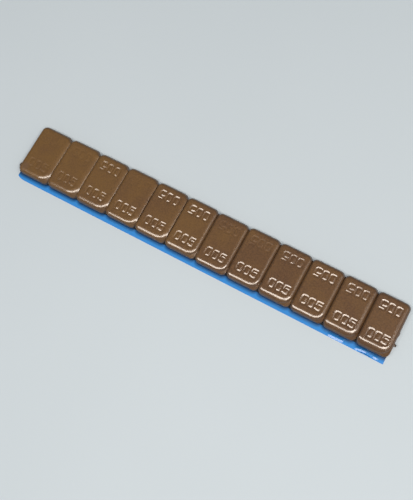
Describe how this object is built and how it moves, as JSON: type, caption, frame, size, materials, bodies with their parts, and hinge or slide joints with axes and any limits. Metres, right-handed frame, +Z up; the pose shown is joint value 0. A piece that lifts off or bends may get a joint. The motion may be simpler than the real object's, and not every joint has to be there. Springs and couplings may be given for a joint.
{
  "type": "wheel balance weight strip",
  "caption": "Self-adhesive balance strip of coated steel weights in a row on foam tape with a peel-off film, stuck inside a wheel rim to balance it.",
  "frame": {"origin": "middle of the row of weights, on the underside of the release film", "axes": "+X along the row from the first weight to the last, +Z up out of the adhesive face, the film stands out on the -Y side"},
  "size_m": [0.1428, 0.0211, 0.0039],
  "materials": {
    "coated_steel": "satin",
    "foam": "matte",
    "liner_film": "gloss"
  },
  "bodies": {
    "root": {"weight_01": "coated_steel", "weight_02": "coated_steel", "weight_03": "coated_steel", "weight_04": "coated_steel", "weight_05": "coated_steel", "weight_06": "coated_steel", "weight_07": "coated_steel", "weight_08": "coated_steel", "weight_09": "coated_steel", "weight_10": "coated_steel", "weight_11": "coated_steel", "weight_12": "coated_steel", "foam_tape": "foam", "release_liner": "liner_film"}
  },
  "joints": []
}
